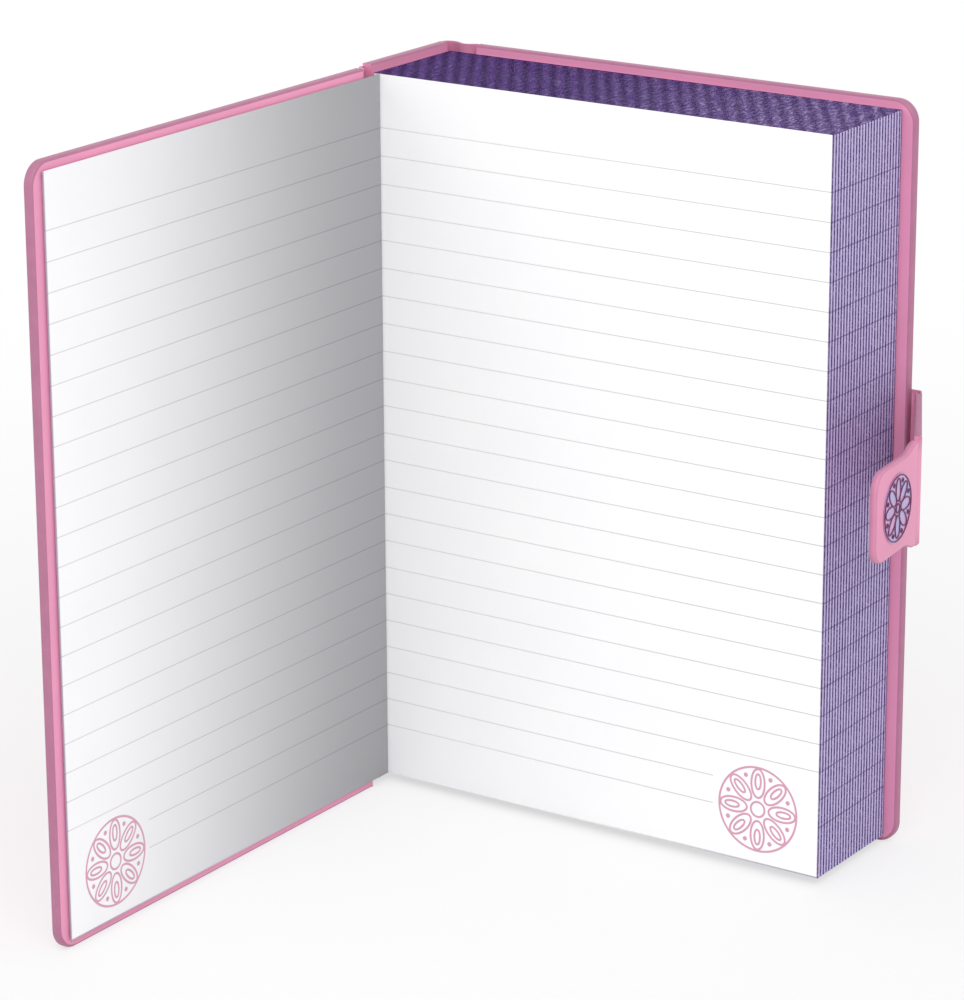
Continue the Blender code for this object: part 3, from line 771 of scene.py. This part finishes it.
profiles = wrapped_profile(half_height, SKIN_FRONT, SKIN_BACK, TURN_IN, FOLD_RADIUS, FOLD_RADIUS)
folded = edge_share(profiles[0], FOLD_RADIUS)
cover_panels = {
    "front": panel_at("front_cover_swing", -90.0, -1),
    "back": panel_at("back_cover_swing", 0.0, 1),
}
for side, panel in cover_panels.items():
    grids = wrapped_grids(panel, cover_outline, cover_middle, half_height, profiles)
    piece = thick_sheet(side + "_cover_wrap", *grids, [skin] * 3, folded, open_start=True)
    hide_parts(side + "_skin")
    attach(piece, side + "_cover")

# %% [markdown]
# Where a board ends in a fold, its raw edge would show. There the binder presses the turned-in skin over
# it, so each of those edges gets a thin flat layer.


# %% Skin over a raw edge
def pressed_edge(name, panel, along, depth, height, body):
    """A thin flat sheet across a board's edge: two parallel rectangles at two distances along the panel."""
    across, upright = np.meshgrid(depth, height, indexing="ij")
    faces = [laid(panel, distance, across, upright) for distance in along]
    piece = thick_sheet(name, *faces, [skin] * 3)
    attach(piece, body)


EDGE_GAP = 0.02 * MM
EDGE_LAYER = 0.06 * MM
board_depths = (SKIN_BACK + EDGE_LAYER, SKIN_FRONT - EDGE_LAYER)
board_heights = (EDGE_LAYER, BOOK_HEIGHT - EDGE_LAYER)
for side, panel in cover_panels.items():
    span = (COVER_START - EDGE_GAP - EDGE_LAYER, COVER_START - EDGE_GAP)
    pressed_edge(side + "_cover_edge_layer", panel, span, board_depths, board_heights, side + "_cover")

# %% [markdown]
# ## Strips: spine, joints and folds
#
# The skin of the spine and the gusset, the joints and the clasp's folds are strips. Each follows a line seen
# from above. A joint has no pin: the skin itself bends in a groove, so its strip turns smoothly from one
# part to the other.


# %% A strip along a line
STRIP_BLUR = 0.4


def curve_through(points, steps=8):
    """A smooth curve through points: on each span a cubic that passes its two ends, with the slope at each
    end taken from the neighbours on both sides."""
    p = np.array(points)
    p = np.concatenate([[2 * p[0] - p[1]], p, [2 * p[-1] - p[-2]]])
    t = np.linspace(0.0, 1.0, steps, endpoint=False)[None, :, None]
    a, b, c, d = p[:-3, None], p[1:-2, None], p[2:-1, None], p[3:, None]
    squared = (2 * a - 5 * b + 4 * c - d) * t**2
    cubed = (3 * b - a - 3 * c + d) * t**3
    spans = 0.5 * (2 * b + (c - a) * t + squared + cubed)
    return np.concatenate([spans.reshape(-1, 2), p[-2:-1]])


def outward_of(line):
    """The unit vector to the right of the line at each point."""
    direction = np.gradient(line, axis=0)
    direction /= np.linalg.norm(direction, axis=1, keepdims=True)
    return pairs(direction[:, 1], -direction[:, 0])


def strip_grids(line, profiles):
    """For each profile of (height, depth): the line moved right by depth, raised to height."""
    out = outward_of(line)
    grids = []
    for profile in profiles:
        plan = line[:, None] + out[:, None] * profile[None, :, 1:]
        height = np.broadcast_to(profile[None, :, :1], (*plan.shape[:2], 1))
        grids.append(np.concatenate([plan, height], axis=2))
    return grids


def wrapped_strip(name, line, low, high, face, back, margin, radius):
    """A strip of skin folded in at its foot and head: the wrapped edge twice, once turned upside down. Its
    edge tone, the share of painted shade, is 1 at foot and head, 0 on its face."""
    half = (high - low) / 2
    back_radius = min(radius, (face - back) / 3)
    profiles = []
    for edge in wrapped_profile(half, face, back, margin, radius, back_radius):
        upper = pairs(high - edge[:, 0], edge[:, 1])
        lower = pairs(low + edge[:, 0], edge[:, 1])
        profiles.append(np.concatenate([lower[::-1], upper[1:]]))
    height = profiles[0][:, 0]
    inset = np.minimum(height - low, high - height)
    tone = np.clip((radius - inset) / (STRIP_BLUR * radius), 0.0, 1.0)
    return thick_sheet(name, *strip_grids(line, profiles), [skin] * 3, tone)


# %% Spine
SPINE_OUT = 3.6 * MM
SPINE_IN = 0.6 * MM
SPINE_MARGIN = 0.2 * MM
spine_line = zero + pairs(0.0, np.linspace(BLOCK - SPINE_MARGIN, SPINE_MARGIN, 9))
spine_wrap = wrapped_strip(
    "spine_wrap", spine_line, 0.0, BOOK_HEIGHT, SPINE_OUT, SPINE_IN, TURN_IN, FOLD_RADIUS
)
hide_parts("spine_skin")
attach(spine_wrap, "block")
spine_panel = {"hinge": zero, "along": (0.0, 1.0), "out": (-1.0, 0.0)}
spine_depths = (SPINE_IN + EDGE_LAYER, SPINE_OUT - EDGE_LAYER)
spine_ends = {"front": (SPINE_MARGIN, -1), "back": (BLOCK - SPINE_MARGIN, 1)}
for side, (end, way) in spine_ends.items():
    span = (end + way * EDGE_GAP, end + way * (EDGE_GAP + EDGE_LAYER))
    pressed_edge(side + "_spine_edge_layer", spine_panel, span, spine_depths, board_heights, "block")


# %% Joints between spine and covers
FRONT_JOINT_MARGIN = 0.9 * MM
BACK_JOINT_MARGIN = 0.3 * MM
JOINT = 0.8 * MM
HINGE_LINE = SKIN_FRONT - JOINT / 2
GROOVE = 1.6 * MM
SLACK = 0.1 * MM
# The painted shade on the joints' foot and head is half strength.
JOINT_EDGE_TONE = 0.5
COVER_REACH = COVER_START - 0.2 * MM
front_start = (-(SPINE_OUT - JOINT / 2), SLACK)
front_end = (HINGE_INSET - HINGE_LINE, HINGE_DEPTH - COVER_REACH)
front_points = [
    front_start,
    (front_start[0] + SLACK, front_end[1] / 4),
    (front_end[0] - SLACK, front_end[1] / 2),
    (front_end[0] + GROOVE / 4, 3 * front_end[1] / 4),
    front_end,
]
back_hinge = hinge["back_cover_swing"] - zero
back_end = (back_hinge[0] + COVER_REACH, back_hinge[1] + HINGE_LINE)
back_points = [
    (front_start[0], BLOCK - SLACK),
    (front_start[0] + SKIN, back_end[1] - GROOVE / 2),
    (front_start[0] + SPINE_OUT - SKIN, back_end[1]),
    (back_hinge[0] + COVER_REACH / 4, back_end[1] - GROOVE),
    (back_end[0] - GROOVE, back_end[1] - SLACK),
    back_end,
]


def bending_strip(name, line, low, high, bodies, start, end, thickness=SKIN):
    """A strip of skin of even thickness along a line. The bodies it is given are not used."""
    heights = np.linspace(low, high, 9)
    faces = [pairs(heights, depth) for depth in (thickness / 2, -thickness / 2)]
    inset = np.minimum(heights - low, high - heights)
    edge = np.where(inset < MERGE_DISTANCE, JOINT_EDGE_TONE, 0.0)
    piece = thick_sheet(name, *strip_grids(line, faces), [bent_skin] * 3, edge)
    high / 2
    high / 2
    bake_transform(piece)
    return piece


front_line = zero + curve_through(front_points)
back_line = zero + curve_through(back_points)[::-1]
tall = (FRONT_JOINT_MARGIN, BOOK_HEIGHT - FRONT_JOINT_MARGIN)
ends = (front_line[0], front_line[-1])
front_joint = bending_strip("front_joint_skin", front_line, *tall, ("block", "front_cover"), *ends, JOINT)
tall = (BACK_JOINT_MARGIN, BOOK_HEIGHT - BACK_JOINT_MARGIN)
ends = (back_line[-1], back_line[0])
back_joint = bending_strip("back_joint_skin", back_line, *tall, ("block", "back_cover"), *ends, JOINT)
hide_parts("front_joint")
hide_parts("back_joint")

# %% [markdown]
# ## The clasp
#
# A flap hangs from the back cover's edge: a stiff gusset that crosses the fore-edge, then a tab that lands
# on the front cover, where a magnet holds it. Its skin is wrapped as the covers' are. The tab's shoulders
# fall in a double curve from the gusset's height to its own.

# %% Gusset
GUSSET_TURN = -62.0
TAB_TURN = -84.0
FLAP_OUT = 1.7 * MM
FLAP_IN = -0.3 * MM
FLAP_HALF = 14.5 * MM
FLAP_MIDDLE = 119.5 * MM
FOLD_START = 2.1 * MM
FLAP_RADIUS = 0.5 * MM
LIP_RADIUS = 0.15 * MM
gusset_panel = panel_at("gusset_fold", GUSSET_TURN, 1)
gusset_reach = float(np.linalg.norm(hinge["tab_fold"] - hinge["gusset_fold"]))
gusset_steps = np.linspace(gusset_reach - FOLD_START, FOLD_START, 12)[:, None]
gusset_line = hinge["gusset_fold"] + gusset_steps * gusset_panel["along"]
flap_low = FLAP_MIDDLE - FLAP_HALF
flap_high = FLAP_MIDDLE + FLAP_HALF
gusset_wrap = wrapped_strip(
    "gusset_wrap", gusset_line, flap_low, flap_high, FLAP_OUT, FLAP_IN, SKIN, FLAP_RADIUS
)
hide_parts("gusset_skin")
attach(gusset_wrap, "gusset")
print("gusset reach in mm:", round(1000 * gusset_reach, 2))

# %% Tab
TAB_HALF = 12.5 * MM
TAB_LENGTH = 30.0 * MM
TAB_CORNER = 5.0 * MM
SHOULDER_START = 3.0 * MM
SHOULDER_LENGTH = 7.0 * MM
UPPER_EDGE_TONE = 0.5
tab_panel = panel_at("tab_fold", TAB_TURN, 1)


def tab_half_height(x):
    """Half the tab's height: the gusset's, then half a cosine wave down to the tab's own."""
    share = np.clip((x - SHOULDER_START) / SHOULDER_LENGTH, 0.0, 1.0)
    return FLAP_HALF + (TAB_HALF - FLAP_HALF) * (0.5 - 0.5 * np.cos(math.pi * share))


shoulder_x = np.linspace(FOLD_START, TAB_LENGTH - TAB_CORNER, 40)[:-1]
foot = pairs(shoulder_x, FLAP_MIDDLE - tab_half_height(shoulder_x))
lower = quarter(TAB_LENGTH - TAB_CORNER, FLAP_MIDDLE - TAB_HALF + TAB_CORNER, TAB_CORNER, -90, 0)
upper = lower[::-1] * (1, -1) + (0, 2 * FLAP_MIDDLE)
head = foot[::-1] * (1, -1) + (0, 2 * FLAP_MIDDLE)
tab_outline = np.concatenate([foot, lower, upper, head])
tab_middle = pairs(np.minimum(tab_outline[:, 0], TAB_LENGTH - TAB_HALF), FLAP_MIDDLE)
profiles = wrapped_profile(TAB_HALF, FLAP_OUT, FLAP_IN, SKIN, FLAP_RADIUS, LIP_RADIUS)
grids = wrapped_grids(tab_panel, tab_outline, tab_middle, TAB_HALF, profiles)
# Painted shade on the tab's rim: half strength near its outer face, full towards its inner face.
underside = (0.35 * FLAP_OUT - profiles[0][:, 1]) / (0.3 * FLAP_OUT)
tab_edge = np.clip(underside, UPPER_EDGE_TONE, 1.0) * edge_share(profiles[0], FLAP_RADIUS)
tab_wrap = thick_sheet("tab_wrap", *grids, [skin] * 3, tab_edge, open_start=True)
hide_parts("tab_skin")
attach(tab_wrap, "tab")
flap_depths = (FLAP_IN + EDGE_LAYER, FLAP_OUT - EDGE_LAYER)
flap_heights = (flap_low + EDGE_LAYER, flap_high - EDGE_LAYER)
root = (FOLD_START - EDGE_GAP - EDGE_LAYER, FOLD_START - EDGE_GAP)
far = (gusset_reach - root[1], gusset_reach - root[0])
pressed_edge("gusset_root_layer", gusset_panel, root, flap_depths, flap_heights, "gusset")
pressed_edge("gusset_end_layer", gusset_panel, far, flap_depths, flap_heights, "gusset")
pressed_edge("tab_root_layer", tab_panel, root, flap_depths, flap_heights, "tab")

# %% Folds of the clasp
FLAP_LEVEL = FLAP_OUT - SKIN / 2
TUCKED = 0.35 * MM
SUNK = 0.15 * MM


def unit(arrow):
    """The same direction at a length of one."""
    return arrow / np.linalg.norm(arrow)


gusset_along = gusset_panel["along"] * (FOLD_START - SLACK)
tab_along = tab_panel["along"] * (FOLD_START - SLACK)
gusset_out = gusset_panel["out"]
tab_out = tab_panel["out"]
back_fold_points = [
    (zero[0] + back_hinge[0] + COVER_END - TUCKED, hinge["gusset_fold"][1] + FLAP_LEVEL - SUNK),
    hinge["gusset_fold"] + (0.0, FLAP_LEVEL - SLACK),
    hinge["gusset_fold"] + unit(gusset_out + (0.0, 1.0)) * FLAP_LEVEL,
    hinge["gusset_fold"] + gusset_along + gusset_out * FLAP_LEVEL,
]
front_fold_points = [
    hinge["tab_fold"] - gusset_along + gusset_out * FLAP_LEVEL,
    hinge["tab_fold"] + unit(gusset_out + tab_out) * FLAP_LEVEL,
    hinge["tab_fold"] + tab_along + tab_out * FLAP_LEVEL,
]
tall = (flap_low, flap_high)
line = curve_through(back_fold_points)[::-1]
back_fold = bending_strip("back_fold_skin", line, *tall, ("back_cover", "gusset"), line[-1], line[0])
line = curve_through(front_fold_points)[::-1]
front_fold = bending_strip("front_fold_skin", line, *tall, ("gusset", "tab"), line[-1], line[0])
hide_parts("clasp_back_fold")
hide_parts("clasp_front_fold")

# %% [markdown]
# ## The rosette on the tab
#
# A foil disc is pressed on the tab, and on it lie eight petals in raised lines of dark plum. Each line is a
# closed loop with a low rounded section.

# %% Raised rosette
ROSETTE_REACH = 16.0 * MM
ROSETTE_RADIUS = 9.4 * MM
FOIL_TOP = FLAP_OUT + 0.25 * MM
WIRE = 0.42 * MM
WIRE_RISE = 0.28 * MM
WIRE_SUNK = 0.05 * MM
WIRE_PETAL = (0.54, 0.33, 0.17)
WIRE_BEAD = (0.80, 0.05, 0.05)
WIRE_HUB = 0.13
WIRE_RIM = 0.95


def loop_wire(centre_line, closed_turns=12):
    """A low rounded wire along closed loops: across the line it spreads by the cosine of the turn, and it
    rises from the foil by the sine. centre_line is loops by points by (along, height)."""
    ahead = np.roll(centre_line, -1, axis=1) - np.roll(centre_line, 1, axis=1)
    ahead /= np.linalg.norm(ahead, axis=2, keepdims=True)
    across = pairs(ahead[..., 1], -ahead[..., 0])
    turn = np.linspace(0.0, 2 * math.pi, closed_turns + 1)
    flat = centre_line[:, :, None] + across[:, :, None] * (WIRE / 2 * np.cos(turn))[None, None, :, None]
    depth = np.broadcast_to(FOIL_TOP + WIRE_RISE / 2 * (1 + np.sin(turn)) - WIRE_SUNK, flat.shape[:3])
    flat = np.concatenate([flat, flat[:, :1]], axis=1)
    depth = np.concatenate([depth, depth[:, :1]], axis=1)
    return laid(tab_panel, ROSETTE_REACH + flat[..., 0], depth, FLAP_MIDDLE + flat[..., 1])


def turned_round(loop, count, start=0.0):
    """The same loop set round the centre count times, each turned by an equal angle."""
    angle = start + np.arange(count) * 2 * math.pi / count
    c = np.cos(angle)[:, None]
    s = np.sin(angle)[:, None]
    return pairs(loop[:, 0] * c - loop[:, 1] * s, loop[:, 0] * s + loop[:, 1] * c)


def ellipse_loop(centre, length, width, points=40):
    """An ellipse centred along the first axis. Its measures are shares of the rosette's radius."""
    angle = np.arange(points) * 2 * math.pi / points
    return ROSETTE_RADIUS * pairs(centre + length * np.cos(angle), width * np.sin(angle))


loops = np.concatenate([
    turned_round(ellipse_loop(*WIRE_PETAL), PETALS),
    turned_round(ellipse_loop(*WIRE_BEAD), PETALS, sector / 2),
    ellipse_loop(0.0, WIRE_HUB, WIRE_HUB)[None],
    ellipse_loop(0.0, WIRE_RIM, WIRE_RIM)[None],
])
wires = loop_wire(loops)
index = np.arange(wires[..., 0].size).reshape(wires.shape[:3])
mesh = bpy.data.meshes.new("clasp_petal_lines")
quads = np.concatenate([cells(grid) for grid in index])
mesh.from_pydata(wires.reshape(-1, 3).tolist(), [], quads.tolist())
print("rosette loops:", len(loops))

# %% Plum foil
plum, shader, place = new_finish("plum_foil", Metallic=0.65, Specular_IOR_Level=0.5)
grain = use_group("fine_grain", Place=place, Scale=5200.0)
colour = mix(grain["Tone"], srgb(92, 36, 76), srgb(128, 62, 112))
surface(shader, colour, grain["Height"] * 0.2 + 0.26, grain["Height"], 0.01 * MM)
petal_lines = close_mesh("clasp_petal_lines", mesh, [plum])
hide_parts("clasp_rosette")
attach(petal_lines, "tab")

# %% Lilac foil disc
foil, shader, place = new_finish("lilac_foil", Metallic=0.55, Specular_IOR_Level=0.6)
grain = use_group("fine_grain", Place=place, Scale=4200.0)
shimmer = noise(place, 190.0, 2.0)
cool = mix(step(shimmer, 0.35, 0.65), srgb(206, 160, 206), srgb(176, 176, 224))
glitter = use_group("glitter", Place=place, Scale=5200.0, Amount=0.16)
colour = mix(glitter["Spark"] * 0.6, cool, srgb(244, 236, 250))
surface(shader, colour, glitter["Haze"] * 0.2 + 0.24, grain["Height"], 0.012 * MM)
frame["nodes"]["clasp_foil"].data.materials[0] = foil
print("foil finishes ready")

# %% [markdown]
# ## The turned leaf
#
# One ruled leaf lies against the open cover. It is held by a narrow stub on the first section, turns
# through a tight fold in the gutter and then lies flat. A painted shade runs on it from grey in the gutter
# to white at its free edge.

# %% Leaf paper
LEAF_REACH = 145.5 * MM


def leaf_paper(name, gutter_shade_grey):
    """Writing paper with painted shade, running from a grey at the gutter to white at the free edge."""
    material, shader, place = new_finish(name, "sheet", Specular_IOR_Level=0.3)
    across, _, up = split(place)
    grain = use_group("fine_grain", Place=place, Scale=3500.0)
    white = mix(grain["Tone"], srgb(252, 252, 253), srgb(246, 246, 248))
    # Painted shade: grey in the gutter fold, fading to white towards the free edge.
    paper = mix(step(across, 0.0, LEAF_REACH * 1.05), gutter_shade_grey, white)
    page = printed_page(paper, across, up, LEAF_REACH, srgb(224, 216, 221), 0.34 * MM)
    cockle = noise(place, 22.0, 1.0)
    surface(shader, page, 0.7, cockle * 12.0 + grain["Height"], 0.02 * MM)
    return material


# The hidden side gets a lighter painted shade in its gutter.
reading_side = leaf_paper("leaf_reading_side", srgb(162, 162, 165))
hidden_side = leaf_paper("leaf_hidden_side", srgb(240, 240, 242))
print("leaf finishes:", reading_side.name, hidden_side.name)

# %% Leaf
LEAF = 0.2 * MM
LEAF_LEVEL = -0.2 * MM
LEAF_FOLD = hinge["turned_leaf_turn"] - zero
STUB_START = 0.7 * MM
BEND = 0.3 * MM
stub = pairs(np.linspace(STUB_START, LEAF_FOLD[0] - BEND, 5)[:-1], LEAF_LEVEL)
bend = quarter(LEAF_FOLD[0] - BEND, LEAF_LEVEL - BEND, BEND, 90, 0, 8)
free = pairs(LEAF_FOLD[0], np.linspace(LEAF_LEVEL - BEND, LEAF_FOLD[1] - LEAF_REACH, 41)[1:])
leaf_line = zero + np.concatenate([stub, bend, free])
leaf_heights = np.linspace(foot_z, head_z, 31)
faces = [pairs(leaf_heights, depth) for depth in (-LEAF / 2, LEAF / 2)]
grids = strip_grids(leaf_line, faces)
from_fold = np.clip(zero[1] + LEAF_FOLD[1] - grids[0][..., 1], 0.0, None)
sheet_place = np.stack([from_fold, np.zeros_like(from_fold), grids[0][..., 2] - foot_z], axis=-1)
leaf = thick_sheet("ruled_leaf", *grids, [reading_side, hidden_side, reading_side], sheet=sheet_place)
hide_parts("turned_leaf", "leaf_stub")
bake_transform(leaf)

# %% [markdown]
# ## The hidden materials
#
# Boards, card, the spine's lining, endpapers, the magnet and its keeper are mostly hidden. Grey board has
# flecks, the lining is open mull, the endpapers are pale lilac and the metal is bare.


# %% Board, card and endpaper
def pressed_fibre(name, light, dark, scale, rough, relief):
    """Pressed paper pulp: a drift of tone, short dark flecks and a slightly felty surface."""
    material, shader, place = new_finish(name, Specular_IOR_Level=0.2)
    grain = use_group("fine_grain", Place=place, Scale=scale)
    flecks = step(noise(stretch(place, 1.0, 1.0, 0.25), scale * 0.6, 2.0), 0.62, 0.72)
    colour = mix(flecks * 0.5, mix(grain["Tone"], light, dark), dark)
    surface(shader, colour, grain["Tone"] * 0.1 + rough, grain["Height"], relief)
    return material


board = pressed_fibre("grey_board", srgb(160, 154, 146), srgb(122, 116, 108), 1800.0, 0.8, 0.06 * MM)
card = pressed_fibre("stiff_card", srgb(176, 170, 162), srgb(140, 134, 126), 2400.0, 0.75, 0.04 * MM)
endpaper = pressed_fibre("lilac_endpaper", srgb(232, 222, 240), srgb(222, 208, 234), 3200.0, 0.7, 0.02 * MM)
print("pressed fibre finishes:", board.name, card.name, endpaper.name)

# %% Mull
THREADS = 3600.0
mull, shader, place = new_finish("open_mull", Specular_IOR_Level=0.2)
_, thread_y, thread_z = split(place)
warp = abs(calc("SINE", thread_y * THREADS))
weft = abs(calc("SINE", thread_z * THREADS))
weave = calc("MAXIMUM", warp, weft)
surface(shader, mix(weave, srgb(196, 188, 170), srgb(232, 227, 214)), 0.85, weave, 0.1 * MM)
print("mull threads per mm:", round(THREADS * MM / math.pi, 1))


# %% Steel and nickel
def turned_metal(name, colour, rough):
    """Bare metal with fine scratches in one direction and a drift of brightness."""
    material, shader, place = new_finish(name, Metallic=1.0)
    scratches = noise(stretch(place, 1.0, 1.0, 0.03), 6000.0)
    dull = tuple(0.8 * value for value in colour[:3]) + (1.0,)
    tone = mix(noise(place, 300.0, 2.0), colour, dull)
    surface(shader, tone, scratches * 0.25 + rough, scratches, 0.01 * MM)
    return material


steel = turned_metal("plain_steel", srgb(190, 190, 194), 0.28)
nickel = turned_metal("nickel_plate", srgb(206, 204, 200), 0.16)
finishes = {
    "front_board": board, "back_board": board, "spine_board": board,
    "gusset_stiffener": card, "tab_stiffener": card,
    "front_pastedown": endpaper, "back_pastedown": endpaper,
    "gusset_lining": clasp_lining, "tab_lining": clasp_lining,
    "spine_lining": mull, "front_keeper": steel, "tab_magnet": nickel,
}
for node, finish in finishes.items():
    frame["nodes"][node].data.materials[0] = finish
print("nodes with a new finish:", len(finishes) + SECTIONS + 1)

# %% [markdown]
# ## Floor
#
# The notebook stands on a white sweep. To the camera the floor glows white, less so near the book, where a
# share of the light on it is mixed in, so that the soft shadow stays.

# %% White floor
FLOOR = 4.0
GLOW_AT_BOOK = 0.65
corners = [(-FLOOR, -FLOOR, 0.0), (FLOOR, -FLOOR, 0.0), (FLOOR, FLOOR, 0.0), (-FLOOR, FLOOR, 0.0)]
floor_mesh = bpy.data.meshes.new("studio_floor")
floor_mesh.from_pydata(corners, [], [(0, 1, 2, 3)])
floor = bpy.data.objects.new("studio_floor", floor_mesh)
scene.collection.objects.link(floor)
white_floor, shader, place = new_finish("white_floor", Roughness=0.9, Specular_IOR_Level=0.0)
shader.inputs["Base Color"].default_value = (0.9, 0.9, 0.9, 1.0)
floor_nodes = white_floor.node_tree.nodes
rays = signals(floor_nodes.new("ShaderNodeLightPath").outputs)
mirrored = calc("MAXIMUM", rays["Is Glossy Ray"], rays["Is Transmission Ray"])
seen = calc("MAXIMUM", rays["Is Camera Ray"], mirrored)
away = add_node("VectorMath", place)
away.operation = "LENGTH"
feed(place, away.inputs[0])
far = step(Signal(away.outputs["Value"]), 0.15, 0.7)
mixer = floor_nodes.new("ShaderNodeMixShader")
feed(seen * (far * (1.0 - GLOW_AT_BOOK) + GLOW_AT_BOOK), mixer.inputs[0])
feed(Signal(shader.outputs[0]), mixer.inputs[1])
feed(Signal(floor_nodes.new("ShaderNodeEmission").outputs[0]), mixer.inputs[2])
feed(Signal(mixer.outputs[0]), floor_nodes["Material Output"].inputs["Surface"])
floor_mesh.materials.append(white_floor)
print("floor:", 2 * FLOOR, "m across")
